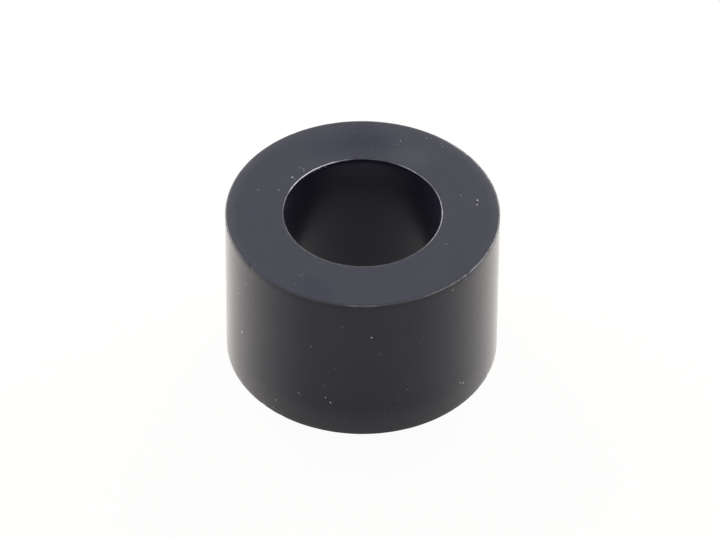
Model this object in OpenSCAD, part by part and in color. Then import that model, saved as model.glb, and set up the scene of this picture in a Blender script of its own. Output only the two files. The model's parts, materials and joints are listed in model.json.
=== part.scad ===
// Clutch bushing
// A plain ring turned in one piece from black plastic rod. The pivot pin of a clutch
// linkage turns in its bore, and its outside sits in the hole of the lever or bracket.
// The bore's axis is Z, and the origin is the centre of the lower end face.

/* [Ring] */
// Outside diameter, which fits the hole in the lever (7/8 inch)
outer_d = 22.225; // [18:0.005:40]
// Bore diameter: the pivot pin (1/2 inch) and 0.1 mm of clearance for it to turn in
bore_d = 12.8; // [6:0.005:14]
// Length between the two end faces (9/16 inch)
ring_length = 14.2875; // [5:0.0025:40]

/* [Edges] */
// Chamfer on both outer edges, taken off the end face and off the side alike
outer_edge_break = 0.1; // [0.05:0.01:0.8]
// Chamfer at both mouths of the bore, taken off the end face and off the bore alike
bore_edge_break = 0.08; // [0.05:0.01:0.8]

/* [Hidden] */
// Facets on a full circle
$fn = 180;
plastic_colour = "#28282d";
outer_r = outer_d / 2;
bore_r = bore_d / 2;

// Section of the wall on one side of the axis: a rectangle that stands between the
// bore and the outside, with its four corners broken.
module wall_section() {
    polygon([
        [bore_r + bore_edge_break, 0],
        [outer_r - outer_edge_break, 0],
        [outer_r, outer_edge_break],
        [outer_r, ring_length - outer_edge_break],
        [outer_r - outer_edge_break, ring_length],
        [bore_r + bore_edge_break, ring_length],
        [bore_r, ring_length - bore_edge_break],
        [bore_r, bore_edge_break]
    ]);
}

// The whole bushing, turned about its axis
module bushing() {
    color(plastic_colour)
        rotate_extrude()
            wall_section();
}

bushing();
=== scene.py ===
"""A clutch bushing: a ring turned from black plastic rod, with dust on it, on a pale studio floor.

Lengths are in metres, or in millimetres where a name ends in mm. Pixels are those of a picture
720 wide and 540 high. A side of the ring is an angle from +X towards +Y.
"""

import json
import math
import random
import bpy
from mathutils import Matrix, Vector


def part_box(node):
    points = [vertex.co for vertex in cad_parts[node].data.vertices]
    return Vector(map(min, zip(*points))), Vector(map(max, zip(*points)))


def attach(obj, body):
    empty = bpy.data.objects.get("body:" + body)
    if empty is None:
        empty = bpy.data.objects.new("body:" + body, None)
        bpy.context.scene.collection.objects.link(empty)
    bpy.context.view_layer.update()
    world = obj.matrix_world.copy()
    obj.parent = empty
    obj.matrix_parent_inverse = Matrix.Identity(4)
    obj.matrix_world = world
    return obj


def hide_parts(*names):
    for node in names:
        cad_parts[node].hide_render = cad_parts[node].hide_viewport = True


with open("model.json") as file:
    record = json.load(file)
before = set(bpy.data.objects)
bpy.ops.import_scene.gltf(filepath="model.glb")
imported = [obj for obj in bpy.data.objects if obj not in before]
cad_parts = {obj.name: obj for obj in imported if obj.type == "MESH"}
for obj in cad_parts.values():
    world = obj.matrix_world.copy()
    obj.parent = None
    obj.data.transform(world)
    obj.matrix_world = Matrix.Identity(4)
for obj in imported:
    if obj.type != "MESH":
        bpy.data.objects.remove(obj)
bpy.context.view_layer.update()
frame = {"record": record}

from types import SimpleNamespace

import bpy
from mathutils import Matrix, Vector

MM = 0.001

# The ring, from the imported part
MOUNTS = {mount["name"]: mount for mount in frame["record"]["mounts"]}
RING_LOW, RING_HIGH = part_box("bushing")
LENGTH = RING_HIGH.z - RING_LOW.z
OUTER_R = MOUNTS["outside"]["dims"]["r_mm"] * MM
BORE_R = MOUNTS["bore"]["dims"]["r_mm"] * MM
OUTER_EDGE = (LENGTH - MOUNTS["outside"]["dims"]["length_mm"] * MM) / 2
BORE_EDGE = (LENGTH - MOUNTS["bore"]["dims"]["length_mm"] * MM) / 2
CENTRE = Vector((0, 0, LENGTH / 2))

# How finely the ring is turned
TURN_STEPS = 480
EDGE_STEPS = 4
LONG_RUN = 10 * BORE_EDGE
RUN_CUTS = 23
MERGE_GAP = 0.001 * MM

# Unevenness of the broken edges, which were taken off by hand, and how many edge widths it reaches
RIPPLE_HEIGHT = 0.02 * MM
RIPPLE_LENGTH = 0.9 * MM
RIPPLE_REACH = 1.5

# Colours of the plastic: as turned, in the bore, painted light on the bore's far wall, a painted reflection
# of the floor at the foot, pale film with painted glare, the broken edges, and pale burrs with painted
# highlights
BODY_DARK = (0.0028, 0.0026, 0.0155, 1)
BODY_PALE = (0.0042, 0.0040, 0.0175, 1)
BORE_REAMED = (0.0170, 0.0160, 0.0345, 1)
BORE_PAINTED_LIGHT = (0.055, 0.053, 0.070, 1)
FOOT_PAINTED_REFLECTION = (0.050, 0.048, 0.060, 1)
RUBBED_FILM_AND_GLARE = (0.030, 0.030, 0.045, 1)
BORE_LIP = (0.024, 0.024, 0.032, 1)
OUTER_LIP = (0.045, 0.045, 0.055, 1)
BURR_AND_HIGHLIGHT = (0.87, 0.89, 0.99, 1)

# Finish of the plastic: its gloss, the haze that handling leaves, and what each mark adds to its roughness
PLASTIC_IOR = 1.34
HAZE = {"Sheen Weight": 0.38, "Sheen Roughness": 0.45, "Sheen Tint": (0.95, 0.95, 1.0, 1)}
TURNED_ROUGH = 0.10
SMUDGE_ROUGH = 0.05
TOOL_MARK_ROUGH = 0.03
RUB_ROUGH = 0.05
BORE_ROUGH = 0.16
BORE_LIP_ROUGH = 0.4
RELIEF_STRENGTH = 0.06
RELIEF_HEIGHT = 0.02 * MM

# Texture of the plastic: lumps or tool marks to a mm, and the detail in them
SMUDGES = (0.35, 3.0)
MOTTLES = (2.2, 4.0)
SPECKLES = (5.0, 3.0)
TOOL_MARKS = (3.0, 3.0)
SPECKLE_STRENGTH = 0.8
# Least share of the pale burr and its painted highlight, where the mottle is low
BURR_HIGHLIGHT_LEAST = 0.45

# Where the painted light in the bore, the painted reflection at the foot, the rubs with painted glare and
# the broken edges begin to fade and end, in mm or in widths of the broken edge
RUB_AND_GLARE_MM = 1.1
FOOT_REFLECTION_MM = 3.2
FOOT_REFLECTION_STRENGTH = 0.8
BORE_WALL_MM = (0.02, 0.12)
PAINTED_LIGHT_RISES_MM = (0.2, 0.6)
PAINTED_LIGHT_FADES_MM = (0.9, 2.9)
EDGE_FADES = (0.65, 1.05)
LIP_FADES = (0.5, 1.1)

# Marks on some sides of the ring: the side and how far the mark reaches either way, in degrees, and how
# strong it is. Burrs are pale plastic on the broken edges with painted highlights on them, the bore's marks
# are painted light on its far wall below the mouth, and the rubs beside the outer edges are partly rubbed
# plastic and partly painted glare.
BORE_BURRS_AND_HIGHLIGHTS = [
    (164, 20, 0.24),
    (131, 38, 2.30),
    (82, 30, 0.12),
    (51, 23, 0.52),
    (-8, 58, 0.56),
]
BORE_PAINTED_LIGHT_SIDES = [(90, 50, 1.00)]
OUTER_BURRS_AND_HIGHLIGHTS = [(-36, 46, 0.30), (-90, 12, 0.20)]
OUTER_RUBS_AND_GLARE = [(165, 75, 0.8), (25, 70, 0.7)]

# Smudges on the upper face: the pixel of each one's middle, how far it reaches in mm, and how strong it is.
# Wiped ones have lost the haze of handling, and filmed ones have fine dust rubbed in.
WIPED_SMUDGES = [
    ((322, 146), 2.6, 0.35),
    ((360, 142), 3.2, 0.70),
    ((384, 141), 2.2, 0.30),
    ((314, 291), 2.6, 0.35),
]
FILMED_SMUDGES = [((412, 158), 2.3, 0.38)]

# Nicks in the outer edges: a pixel of the upper edge, and each nick's width and depth
UPPER_NICKS = [
    ((467.5, 273.5), 0.45 * MM, 0.025 * MM),
    ((489.0, 251.0), 0.30 * MM, 0.015 * MM),
    ((250.0, 267.0), 0.35 * MM, 0.03 * MM),
    ((466.6, 155.0), 0.25 * MM, 0.05 * MM),
]
LOWER_NICKS = 7
LOWER_WIDTHS_MM = (0.25, 0.5)
LOWER_DEPTHS_MM = (0.015, 0.035)
NICK_SEED = 5

# The camera and the picture
IMAGE_W = 720
IMAGE_H = 540
SENSOR_MM = 36
FOCAL_PX = 6376
CAMERA_ELEVATION = math.radians(43.07)
CAMERA_ROLL = math.radians(0.42)
CAMERA_DISTANCE = 0.520
CENTRE_PX = (362.2, 276.6)
SIGHT = Vector((0, math.cos(CAMERA_ELEVATION), -math.sin(CAMERA_ELEVATION)))
LEVEL_RIGHT = Vector((1, 0, 0))
LEVEL_UP = LEVEL_RIGHT.cross(SIGHT)
PICTURE_RIGHT = math.cos(CAMERA_ROLL) * LEVEL_RIGHT + math.sin(CAMERA_ROLL) * LEVEL_UP
PICTURE_UP = math.cos(CAMERA_ROLL) * LEVEL_UP - math.sin(CAMERA_ROLL) * LEVEL_RIGHT
EYE = CENTRE - CAMERA_DISTANCE * SIGHT

# A grain of dust: how knobbly it is, and its shape
GRAIN_LUMPS = 0.12
GRAIN_SHAPE = (1.15, 0.9, 0.7)
GRAIN_SEED = 3

# Dust: its colours, how many lumps of colour it has to a metre, and its roughness
DUST_GREY = (0.52, 0.52, 0.54, 1)
DUST_PALE = (0.74, 0.73, 0.72, 1)
DUST_LUMPS = 900.0
DUST_ROUGH = 0.9

# Dust on the ring: pixels where the picture shows a fleck, by the fleck's size
BIG_FLECK = 0.19 * MM
COARSE_FLECK = 0.155 * MM
MIDDLE_FLECK = 0.115 * MM
FINE_FLECK = 0.065 * MM
FAINT_FLECK = 0.042 * MM
TOP_FLECKS = {
    COARSE_FLECK: [(477.5, 200.5), (292.5, 177.5)],
    MIDDLE_FLECK: [(477, 205)],
    FINE_FLECK: [
        (368, 124.5), (397.5, 144.5), (442.5, 146.5), (426.5, 138.5), (461, 195.5), (400.5, 141),
        (446.5, 244), (441.5, 143.5), (279, 190.5), (294.5, 179), (258, 190),
    ],
    FAINT_FLECK: [(295.5, 284.5), (354, 131.5)],
}
SIDE_FLECKS = {
    BIG_FLECK: [(242.5, 332.5)],
    COARSE_FLECK: [(371.5, 337.5), (330.5, 402.5), (460, 382.5), (463, 383), (239, 293.5)],
    MIDDLE_FLECK: [(325.5, 397.5), (246.5, 283.5), (452.5, 290), (276, 400)],
    FINE_FLECK: [(407, 389.5), (311, 346.5), (342.5, 327), (380, 354), (273, 407), (466, 279)],
    FAINT_FLECK: [
        (335, 369), (324.5, 385), (419, 343.5), (447.5, 384.5), (384.5, 410.5),
        (346, 423.5), (399, 400),
    ],
}

# Flecks round the back: how many, on which sides in degrees, at which shares of the height, and their sizes
BACK_FLECKS = 18
BACK_SIDES = (10, 170)
BACK_HEIGHTS = (0.05, 0.95)
BACK_SIZES = (COARSE_FLECK, MIDDLE_FLECK, FINE_FLECK, FAINT_FLECK)
DUST_SEED = 11

# Slivers of swarf: the pixels of both ends, and the width
TOP_SLIVER = ((299, 277.5), (304, 273.5))
TOP_SLIVER_WIDTH = 0.008 * MM
SIDE_SLIVER = ((297.3, 391.6), (300.7, 394.6))
SIDE_SLIVER_WIDTH = 0.05 * MM
BORE_SLIVERS = [
    ((313.4, 172.2), (315.2, 171.0)),
    ((317.2, 169.8), (320.4, 168.6)),
    ((324.6, 167.2), (326.6, 166.0)),
]
BORE_SLIVER_WIDTH = 0.045 * MM

# A curl of lint on the upper face: the pixel of its middle, and the part of a circle that it makes
LINT_PX = (300.0, 170.6)
LINT_RADIUS = 0.34 * MM
LINT_WIDTH = 0.013 * MM
LINT_FROM = math.radians(115)
LINT_TURN = math.radians(140)
LINT_SIDES = 6
LINT_STEPS = 16

# The studio: its floor, how much of the floor's look is plain white, and the light of the sky
FLOOR_SIZE = 4.0
PAPER = (0.93, 0.86, 0.76, 1)
WHITE = (1, 1, 1, 1)
FLOOR_WHITE_SEEN = 0.95
FLOOR_WHITE_MIRRORED = 0.72
SKY = 0.36

# Softboxes: azimuth and elevation in degrees, distance, width and height, radiance, and tint.
# Azimuth 0 is the camera's side, and 90 the picture's right.
COOL = (0.80, 0.98, 1.2)
WARM = (1.0, 0.95, 0.87)
SOFTBOXES = {
    "back_panel": (180, 52, 0.5, (0.5, 0.45), 0.44, COOL),
    "left_box": (-138, 30, 0.45, (0.36, 0.26), 7.1, WARM),
    "right_box": (144, 27, 0.45, (0.42, 0.22), 7.9, WARM),
}


class Wire:
    """An output socket of a node. Arithmetic on it adds Math nodes to its tree."""

    def __init__(self, tree, socket=None):
        self.tree = tree
        self.socket = socket

    def node(self, kind, settings, sockets, output=0):
        """A new node: its settings first, then the values or links of its sockets."""
        made = self.tree.nodes.new(kind)
        for name, value in settings.items():
            setattr(made, name, value)
        found = {socket.identifier: socket for socket in made.inputs}
        for name, value in sockets.items():
            if isinstance(value, Wire):
                self.tree.links.new(value.socket, found[name])
            else:
                found[name].default_value = value
        return Wire(self.tree, made.outputs[output] if made.outputs else None)

    def maths(self, operation, first, second=0.0):
        return self.node("ShaderNodeMath", {"operation": operation}, {"Value": first, "Value_001": second})

    def __add__(self, other):
        return self.maths("ADD", self, other)

    def __radd__(self, other):
        return self.maths("ADD", other, self)

    def __sub__(self, other):
        return self.maths("SUBTRACT", self, other)

    def __rsub__(self, other):
        return self.maths("SUBTRACT", other, self)

    def __mul__(self, other):
        return self.maths("MULTIPLY", self, other)

    def __rmul__(self, other):
        return self.maths("MULTIPLY", other, self)

    def root(self):
        return self.maths("SQRT", self)

    def size(self):
        return self.maths("ABSOLUTE", self)

    def fade_in(self, start, end):
        """0 up to start, 1 from end on, and a smooth rise between them."""
        settings = {"interpolation_type": "SMOOTHSTEP"}
        sockets = {"Value": self, "From Min": start, "From Max": end}
        return self.node("ShaderNodeMapRange", settings, sockets)

    def fade_out(self, start, end):
        """1 up to start, 0 from end on, and a smooth fall between them."""
        return 1.0 - self.fade_in(start, end)

    def blend(self, colour, other):
        """One colour where this value is 0, and the other where it is 1."""
        sockets = {"Factor_Float": self, "A_Color": colour, "B_Color": other}
        return self.node("ShaderNodeMix", {"data_type": "RGBA"}, sockets, output=2)

    def noise(self, scale, detail=2.0):
        """Smooth noise from 0 to 1 over this place, with that many lumps to a unit of length."""
        return self.node("ShaderNodeTexNoise", {}, {"Vector": self, "Scale": scale, "Detail": detail})

    def noise_along(self, scale, detail=2.0):
        """The same noise along one value."""
        settings = {"noise_dimensions": "1D"}
        return self.node("ShaderNodeTexNoise", settings, {"W": self, "Scale": scale, "Detail": detail})


def new_material(name):
    """A node material with nothing in it yet, and a wire to build it with."""
    material = bpy.data.materials.new(name)
    material.use_nodes = True
    material.node_tree.nodes.clear()
    return material, Wire(material.node_tree)


def ray_is(wire, kind):
    """1 for a ray of that kind, such as Camera, and 0 for any other."""
    return wire.node("ShaderNodeLightPath", {}, {}, output=f"Is {kind} Ray")


def place_on_ring(wire):
    """Where a point of the ring is, and how far it is from the axis, the ends and the edges, all in mm."""
    at = SimpleNamespace()
    place = wire.node("ShaderNodeTexCoord", {}, {}, output="Object")
    scaled = {"Vector": place, "Scale": 1 / MM}
    at.place = wire.node("ShaderNodeVectorMath", {"operation": "SCALE"}, scaled)
    at.x = wire.node("ShaderNodeSeparateXYZ", {}, {"Vector": at.place}, output="X")
    at.y = wire.node("ShaderNodeSeparateXYZ", {}, {"Vector": at.place}, output="Y")
    at.z = wire.node("ShaderNodeSeparateXYZ", {}, {"Vector": at.place}, output="Z")
    at.radius = (at.x * at.x + at.y * at.y).root()
    at.depth = LENGTH / MM - at.z
    half_length_mm = LENGTH / MM / 2
    at.to_end = half_length_mm - (at.z - half_length_mm).size()
    at.to_outer_edge = (OUTER_R / MM - at.radius) + at.to_end
    at.to_bore_edge = (at.radius - BORE_R / MM) + at.to_end
    return at


def side_marks(at, marks):
    """How strong the marks are on each side of the ring. A mark fades from its middle out to its reach."""
    strength = 0.0
    for side_degrees, reach, most in marks:
        side = math.radians(side_degrees)
        towards = at.x * math.cos(side) + at.y * math.sin(side)
        aside = at.y * math.cos(side) - at.x * math.sin(side)
        turn = towards.maths("ARCTAN2", aside, towards).size()
        strength = strength + most * turn.fade_in(math.radians(reach), 0.0)
    return strength


def smudge_marks(at, smudges):
    """How strong the smudges are over a place on the upper face."""
    strength = 0.0
    for pixel, reach, most in smudges:
        middle, _ = spot_on_top(pixel)
        across = at.x - middle.x / MM
        along = at.y - middle.y / MM
        strength = strength + most * (across * across + along * along).root().fade_in(reach, 0.0)
    return strength


def edge_marks(at, mottle):
    """Where the outer edges and the bore's edges are broken, the bore's lip, and the pale burrs on them
    with painted highlights.
    """
    outer_fades = [share * OUTER_EDGE / MM for share in EDGE_FADES]
    bore_fades = [share * BORE_EDGE / MM for share in EDGE_FADES]
    lip_fades = [share * BORE_EDGE / MM for share in LIP_FADES]
    outer_break = at.to_outer_edge.fade_out(*outer_fades)
    bore_break = at.to_bore_edge.fade_out(*bore_fades)
    bore_lip = bore_break * at.to_end.fade_out(*lip_fades)
    # Pale burrs on the broken edges, with painted highlights where the edges would catch the lamps
    burr_and_highlight = bore_lip * side_marks(at, BORE_BURRS_AND_HIGHLIGHTS) + outer_break * side_marks(at, OUTER_BURRS_AND_HIGHLIGHTS)
    uneven_burr_and_highlight = burr_and_highlight * (BURR_HIGHLIGHT_LEAST + (1 - BURR_HIGHLIGHT_LEAST) * mottle.fade_in(0.3, 0.6))
    return outer_break, bore_break, bore_lip, uneven_burr_and_highlight


def black_plastic():
    """Blue-black acetal as it comes off the lathe: satin, with faint tool marks and rubbed edges, and with
    painted highlights on its burrs, painted glare by its outer edges, painted light in its bore and a
    painted reflection at its foot.
    """
    material, wire = new_material("black_plastic")
    at = place_on_ring(wire)
    smudge = at.place.noise(*SMUDGES)
    mottle = at.place.noise(*MOTTLES)
    speckle = at.place.noise(*SPECKLES)
    tool_marks = (at.radius + at.z).noise_along(*TOOL_MARKS)
    outer_break, bore_break, bore_lip, burr_and_highlight = edge_marks(at, mottle)
    in_bore = (at.radius - BORE_R / MM).fade_out(*BORE_WALL_MM)
    # Painted light on the bore's far wall, just below its mouth
    below_mouth = at.depth.fade_in(*PAINTED_LIGHT_RISES_MM) * at.depth.fade_out(*PAINTED_LIGHT_FADES_MM)
    bore_painted_light = in_bore * (below_mouth * side_marks(at, BORE_PAINTED_LIGHT_SIDES))
    # Painted reflection of the floor: paler towards the foot of the wall
    foot_reflection = FOOT_REFLECTION_STRENGTH * at.z.fade_out(0.0, FOOT_REFLECTION_MM)
    # Partly rubbed plastic and partly painted glare: paler by the outer edges, fading out towards the front
    rub_and_glare = at.to_outer_edge.fade_out(0.0, RUB_AND_GLARE_MM) * side_marks(at, OUTER_RUBS_AND_GLARE)
    film = smudge_marks(at, FILMED_SMUDGES)
    wiped = smudge_marks(at, WIPED_SMUDGES) + SPECKLE_STRENGTH * (speckle - 0.5)

    colour = smudge.fade_in(0.3, 0.7).blend(BODY_DARK, BODY_PALE)
    colour = in_bore.blend(colour, BORE_REAMED)
    # Painted light in the bore
    colour = bore_painted_light.blend(colour, BORE_PAINTED_LIGHT)
    # Painted reflection of the floor at the foot
    colour = foot_reflection.blend(colour, FOOT_PAINTED_REFLECTION)
    # Pale dust film, and rubbed plastic with painted glare
    colour = (rub_and_glare + film).blend(colour, RUBBED_FILM_AND_GLARE)
    colour = bore_lip.blend(colour, BORE_LIP)
    colour = outer_break.blend(colour, OUTER_LIP)
    # Pale burr with a painted highlight on the rims
    colour = burr_and_highlight.blend(colour, BURR_AND_HIGHLIGHT)

    roughness = TURNED_ROUGH + SMUDGE_ROUGH * smudge + TOOL_MARK_ROUGH * tool_marks + RUB_ROUGH * rub_and_glare
    roughness = roughness + BORE_ROUGH * in_bore + BORE_LIP_ROUGH * bore_break
    relief = {"Strength": RELIEF_STRENGTH, "Distance": RELIEF_HEIGHT, "Height": tool_marks + mottle * 0.5}
    normal = wire.node("ShaderNodeBump", {}, relief)
    clean = {"Base Color": colour, "Roughness": roughness, "IOR": PLASTIC_IOR, "Normal": normal}
    mix = {
        "Fac": in_bore + wiped,
        "Shader": wire.node("ShaderNodeBsdfPrincipled", {}, {**clean, **HAZE}),
        "Shader_001": wire.node("ShaderNodeBsdfPrincipled", {}, clean),
    }
    shader = wire.node("ShaderNodeMixShader", {}, mix)
    wire.node("ShaderNodeOutputMaterial", {}, {"Surface": shader})
    return material


def pale_dust():
    """Grey-white grit and lint, dull all over."""
    material, wire = new_material("pale_dust")
    place = wire.node("ShaderNodeTexCoord", {}, {}, output="Object")
    colour = place.noise(DUST_LUMPS).fade_in(0.35, 0.65).blend(DUST_GREY, DUST_PALE)
    shader = wire.node("ShaderNodeBsdfPrincipled", {}, {"Base Color": colour, "Roughness": DUST_ROUGH})
    wire.node("ShaderNodeOutputMaterial", {}, {"Surface": shader})
    return material


def floor_paper():
    """Paper that the camera sees nearly as white as the backdrop, with the ring's shadow faint on it."""
    material, wire = new_material("floor_paper")
    mirrored = ray_is(wire, "Glossy") + ray_is(wire, "Transmission")
    mix = {
        "Fac": FLOOR_WHITE_SEEN * ray_is(wire, "Camera") + FLOOR_WHITE_MIRRORED * mirrored,
        "Shader": wire.node("ShaderNodeBsdfDiffuse", {}, {"Color": PAPER}),
        "Shader_001": wire.node("ShaderNodeEmission", {}, {"Color": WHITE, "Strength": 1.0}),
    }
    shader = wire.node("ShaderNodeMixShader", {}, mix)
    wire.node("ShaderNodeOutputMaterial", {}, {"Surface": shader})
    return material


def deselect():
    bpy.ops.object.select_all(action="DESELECT")


def select_vertices(piece, wanted):
    """Goes into edit mode with only the vertices selected whose place passes the test."""
    bpy.context.tool_settings.mesh_select_mode = (True, False, False)
    bpy.ops.object.mode_set(mode="EDIT")
    bpy.ops.mesh.select_all(action="DESELECT")
    bpy.ops.object.mode_set(mode="OBJECT")
    for vertex in piece.data.vertices:
        vertex.select = wanted(vertex.co)
    bpy.ops.object.mode_set(mode="EDIT")


def apply_place(piece):
    """Puts a piece's place, turn and scale into its mesh."""
    deselect()
    piece.select_set(True)
    bpy.context.view_layer.objects.active = piece
    bpy.ops.object.transform_apply(location=True, rotation=True, scale=True)


def divide_runs(section):
    """Divides the straight runs of the section, so that wear on an edge stays near that edge."""
    bpy.context.tool_settings.mesh_select_mode = (False, True, False)
    bpy.ops.mesh.select_all(action="DESELECT")
    bpy.ops.object.mode_set(mode="OBJECT")
    vertices = section.data.vertices
    for edge in section.data.edges:
        first, last = edge.vertices
        edge.select = (vertices[first].co - vertices[last].co).length > LONG_RUN
    bpy.ops.object.mode_set(mode="EDIT")
    bpy.ops.mesh.subdivide(number_cuts=RUN_CUTS)


def wall_section():
    """The wall's section on the +X side of the axis, with its corners rounded, as an outline of edges."""
    deselect()
    middle = Vector(((OUTER_R + BORE_R) / 2, 0, LENGTH / 2))
    bpy.ops.mesh.primitive_plane_add(size=1, location=middle, rotation=(math.pi / 2, 0, 0))
    section = bpy.context.object
    section.scale = (OUTER_R - BORE_R, LENGTH, 1)
    apply_place(section)
    select_vertices(section, lambda place: place.x > middle.x)
    bpy.ops.mesh.bevel(offset=OUTER_EDGE, segments=EDGE_STEPS, affect="VERTICES")
    select_vertices(section, lambda place: place.x < BORE_R + MERGE_GAP)
    bpy.ops.mesh.bevel(offset=BORE_EDGE, segments=EDGE_STEPS, affect="VERTICES")
    bpy.ops.mesh.select_all(action="SELECT")
    bpy.ops.mesh.delete(type="ONLY_FACE")
    divide_runs(section)
    return section


def ripple_edges(ring):
    """Makes the broken edges a little uneven, as a hand tool leaves them."""
    edges = ring.vertex_groups.new(name="edges")
    for vertex in ring.data.vertices:
        to_end = min(vertex.co.z, LENGTH - vertex.co.z)
        from_axis = math.hypot(vertex.co.x, vertex.co.y)
        near_outer = OUTER_R - from_axis + to_end < RIPPLE_REACH * OUTER_EDGE
        near_bore = from_axis - BORE_R + to_end < RIPPLE_REACH * BORE_EDGE
        if near_outer or near_bore:
            edges.add([vertex.index], 1.0, "REPLACE")
    lumps = bpy.data.textures.new("edge_lumps", "CLOUDS")
    lumps.noise_scale = RIPPLE_LENGTH
    ripple = ring.modifiers.new("ripple", "DISPLACE")
    ripple.texture = lumps
    ripple.texture_coords = "LOCAL"
    ripple.vertex_group = "edges"
    ripple.mid_level = 0.5
    ripple.strength = RIPPLE_HEIGHT
    bpy.ops.object.modifier_apply(modifier="ripple")


def sight_line(pixel):
    """Direction in which the camera sees a pixel of the picture."""
    across = (pixel[0] - CENTRE_PX[0]) / FOCAL_PX
    down = (pixel[1] - CENTRE_PX[1]) / FOCAL_PX
    return SIGHT + across * PICTURE_RIGHT - down * PICTURE_UP


def spot_on_top(pixel):
    """Where the pixel's line of sight meets the upper end face, and that face's normal."""
    line = sight_line(pixel)
    spot = EYE + line * ((LENGTH - EYE.z) / line.z)
    return spot, Vector((0, 0, 1))


def spot_on_wall(pixel, wall_radius, side):
    """Where the pixel's line of sight meets a round wall: the near side for -1, and the far side for 1."""
    line = sight_line(pixel)
    a = line.x ** 2 + line.y ** 2
    b = EYE.x * line.x + EYE.y * line.y
    c = EYE.x ** 2 + EYE.y ** 2 - wall_radius ** 2
    return EYE + line * ((side * math.sqrt(max(b * b - a * c, 0)) - b) / a)


def spot_on_side(pixel):
    """Where the pixel's line of sight first meets the outside, and the outside's normal there."""
    spot = spot_on_wall(pixel, OUTER_R, -1)
    return spot, Vector((spot.x, spot.y, 0)).normalized()


def spot_in_bore(pixel):
    """Where the pixel's line of sight meets the far wall of the bore, and that wall's normal there."""
    spot = spot_on_wall(pixel, BORE_R, 1)
    return spot, -Vector((spot.x, spot.y, 0)).normalized()


def nick(ring, spot, width, depth):
    """Presses a dent into an outer edge at the spot, down to the depth, and fading out over the width."""
    nearest = min(ring.data.vertices, key=lambda vertex: (vertex.co - spot).length)
    place = nearest.co.copy()
    out = Vector((place.x, place.y, 0)).normalized()
    end = Vector((0, 0, 1 if place.z > LENGTH / 2 else -1))
    select_vertices(ring, lambda other: (other - place).length < MERGE_GAP)
    bpy.ops.transform.translate(
        value=-depth * (out + end).normalized(),
        use_proportional_edit=True,
        proportional_edit_falloff="SHARP",
        proportional_size=width,
    )
    bpy.ops.object.mode_set(mode="OBJECT")


def nick_edges(ring):
    """The nicks that the picture shows in the upper edge, and some like them in the lower one."""
    draw = random.Random(NICK_SEED)
    for pixel, width, depth in UPPER_NICKS:
        spot, _ = spot_on_top(pixel)
        nick(ring, spot, width, depth)
    for _ in range(LOWER_NICKS):
        turn = draw.uniform(0, 2 * math.pi)
        spot = Vector((OUTER_R * math.cos(turn), OUTER_R * math.sin(turn), 0))
        width = draw.uniform(*LOWER_WIDTHS_MM) * MM
        depth = draw.uniform(*LOWER_DEPTHS_MM) * MM
        nick(ring, spot, width, depth)


def turned_ring():
    """The bushing itself: its section spun about the axis."""
    ring = wall_section()
    ring.name = "bushing_ring"
    bpy.ops.mesh.select_all(action="SELECT")
    bpy.ops.mesh.spin(steps=TURN_STEPS, angle=2 * math.pi, center=(0, 0, 0), axis=(0, 0, 1))
    bpy.ops.mesh.select_all(action="SELECT")
    bpy.ops.mesh.remove_doubles(threshold=MERGE_GAP)
    bpy.ops.mesh.normals_make_consistent(inside=False)
    bpy.ops.object.mode_set(mode="OBJECT")
    ripple_edges(ring)
    nick_edges(ring)
    bpy.ops.object.shade_smooth()
    weigh = ring.modifiers.new("weigh_normals", "WEIGHTED_NORMAL")
    weigh.weight = 100
    bpy.ops.object.modifier_apply(modifier="weigh_normals")
    ring.data.materials.append(black_plastic())
    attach(ring, "root")
    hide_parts("bushing")


def one_grain():
    """A crumb of grit one unit across, knobbly and a little flat."""
    deselect()
    bpy.ops.mesh.primitive_ico_sphere_add(subdivisions=2, radius=0.5)
    grain = bpy.context.object
    bpy.ops.object.mode_set(mode="EDIT")
    bpy.ops.mesh.select_all(action="SELECT")
    bpy.ops.transform.vertex_random(offset=GRAIN_LUMPS, seed=GRAIN_SEED)
    bpy.ops.transform.resize(value=GRAIN_SHAPE)
    bpy.ops.object.mode_set(mode="OBJECT")
    bpy.ops.object.shade_smooth()
    return grain


def copy_of(grain):
    """A copy of the grain with a mesh of its own."""
    copy = grain.copy()
    copy.data = grain.data.copy()
    bpy.context.collection.objects.link(copy)
    return copy


def place_grain(grain, spot, normal, size, draw):
    """A copy of the grain, turned at random about the normal and lying on the spot."""
    copy = copy_of(grain)
    turn = normal.to_track_quat("Z", "Y").to_matrix().to_4x4()
    spin = Matrix.Rotation(draw.uniform(0, 2 * math.pi), 4, "Z")
    copy.matrix_world = Matrix.Translation(spot) @ turn @ spin @ Matrix.Scale(size, 4)
    return copy


def lay_sliver(grain, pixels, width, find_spot):
    """A copy of the grain, drawn out to a sliver between the spots of two pixels."""
    copy = copy_of(grain)
    first, _ = find_spot(pixels[0])
    last, normal = find_spot(pixels[1])
    along = last - first
    across = normal.cross(along).normalized()
    turn = Matrix((along.normalized(), across, normal)).transposed().to_4x4()
    stretch = Matrix.Diagonal((along.length, width, width, 1))
    copy.matrix_world = Matrix.Translation((first + last) / 2) @ turn @ stretch
    return copy


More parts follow.
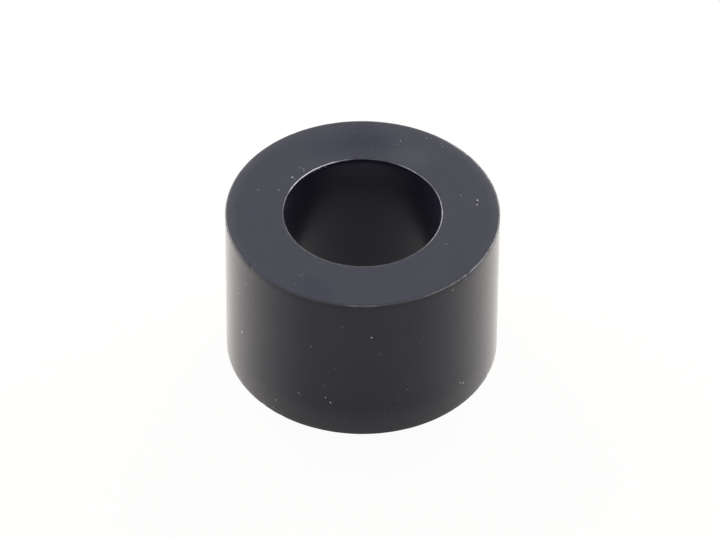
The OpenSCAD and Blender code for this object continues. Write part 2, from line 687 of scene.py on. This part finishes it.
def lint_curl():
    """A fibre that lies on the upper face in part of a circle."""
    deselect()
    middle, _ = spot_on_top(LINT_PX)
    middle.z += LINT_WIDTH / 2
    reach = Vector((math.cos(LINT_FROM), math.sin(LINT_FROM), 0))
    bpy.ops.mesh.primitive_circle_add(
        vertices=LINT_SIDES,
        radius=LINT_WIDTH / 2,
        location=middle + LINT_RADIUS * reach,
        rotation=(math.pi / 2, 0, LINT_FROM),
    )
    fibre = bpy.context.object
    bpy.ops.object.mode_set(mode="EDIT")
    bpy.ops.mesh.select_all(action="SELECT")
    bpy.ops.mesh.spin(steps=LINT_STEPS, angle=LINT_TURN, center=middle, axis=(0, 0, 1))
    bpy.ops.mesh.select_all(action="SELECT")
    bpy.ops.mesh.fill_holes(sides=0)
    bpy.ops.mesh.normals_make_consistent(inside=False)
    bpy.ops.object.mode_set(mode="OBJECT")
    bpy.ops.object.shade_smooth()
    return fibre


def join_pieces(name, copies):
    """One piece of several, with its place in its mesh."""
    deselect()
    for copy in copies:
        copy.select_set(True)
    bpy.context.view_layer.objects.active = copies[0]
    bpy.ops.object.join()
    piece = bpy.context.object
    piece.name = name
    apply_place(piece)
    return piece


def dust_flecks():
    """The flecks, slivers and lint that the picture shows, and some flecks like them round the back."""
    draw = random.Random(DUST_SEED)
    grain = one_grain()
    copies = [lint_curl()]
    for flecks, find_spot in ((TOP_FLECKS, spot_on_top), (SIDE_FLECKS, spot_on_side)):
        for size, pixels in flecks.items():
            for pixel in pixels:
                spot, normal = find_spot(pixel)
                copies.append(place_grain(grain, spot, normal, size, draw))
    copies.append(lay_sliver(grain, TOP_SLIVER, TOP_SLIVER_WIDTH, spot_on_top))
    copies.append(lay_sliver(grain, SIDE_SLIVER, SIDE_SLIVER_WIDTH, spot_on_side))
    for pixels in BORE_SLIVERS:
        copies.append(lay_sliver(grain, pixels, BORE_SLIVER_WIDTH, spot_in_bore))
    for _ in range(BACK_FLECKS):
        side = math.radians(draw.uniform(*BACK_SIDES))
        normal = Vector((math.cos(side), math.sin(side), 0))
        spot = OUTER_R * normal + Vector((0, 0, draw.uniform(*BACK_HEIGHTS) * LENGTH))
        size = draw.choice(BACK_SIZES)
        copies.append(place_grain(grain, spot, normal, size, draw))
    bpy.data.objects.remove(grain)
    dust = join_pieces("dust_flecks", copies)
    dust.data.materials.append(pale_dust())
    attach(dust, "root")


def studio_floor():
    deselect()
    bpy.ops.mesh.primitive_plane_add(size=FLOOR_SIZE)
    floor = bpy.context.object
    floor.name = "studio_floor"
    floor.data.materials.append(floor_paper())


def sky():
    """A white backdrop for what the camera and mirrors see, and a dimmer one for soft light all round."""
    world = bpy.data.worlds.new("sky")
    world.use_nodes = True
    world.node_tree.nodes.clear()
    wire = Wire(world.node_tree)
    seen = ray_is(wire, "Camera") + ray_is(wire, "Glossy") + ray_is(wire, "Transmission")
    strength = SKY + (1 - SKY) * seen
    background = wire.node("ShaderNodeBackground", {}, {"Color": WHITE, "Strength": strength})
    wire.node("ShaderNodeOutputWorld", {}, {"Surface": background})
    bpy.context.scene.world = world


def softbox(name, azimuth, elevation, distance, size, radiance, tint):
    """A rectangular lamp that faces the ring."""
    turn = math.radians(azimuth)
    rise = math.radians(elevation)
    level = Vector((math.sin(turn), -math.cos(turn), 0))
    towards = math.cos(rise) * level + math.sin(rise) * Vector((0, 0, 1))
    lamp = bpy.data.lights.new(name, "AREA")
    lamp.shape = "RECTANGLE"
    lamp.size, lamp.size_y = size
    lamp.energy = radiance * math.pi * size[0] * size[1]
    lamp.color = tint
    box = bpy.data.objects.new(name, lamp)
    bpy.context.collection.objects.link(box)
    box.location = CENTRE + distance * towards
    box.rotation_euler = towards.to_track_quat("Z", "Y").to_euler()


def camera():
    lens = bpy.data.cameras.new("camera")
    lens.sensor_width = SENSOR_MM
    lens.lens = FOCAL_PX * SENSOR_MM / IMAGE_W
    lens.shift_x = (IMAGE_W / 2 - CENTRE_PX[0]) / IMAGE_W
    lens.shift_y = (CENTRE_PX[1] - IMAGE_H / 2) / IMAGE_W
    eye = bpy.data.objects.new("camera", lens)
    bpy.context.collection.objects.link(eye)
    eye.location = EYE
    eye.rotation_euler = Matrix((PICTURE_RIGHT, PICTURE_UP, -SIGHT)).transposed().to_euler()
    bpy.context.scene.camera = eye


bpy.context.scene.view_settings.view_transform = "Standard"
camera()
studio_floor()
sky()
for box_name, box_values in SOFTBOXES.items():
    softbox(box_name, *box_values)
turned_ring()
dust_flecks()
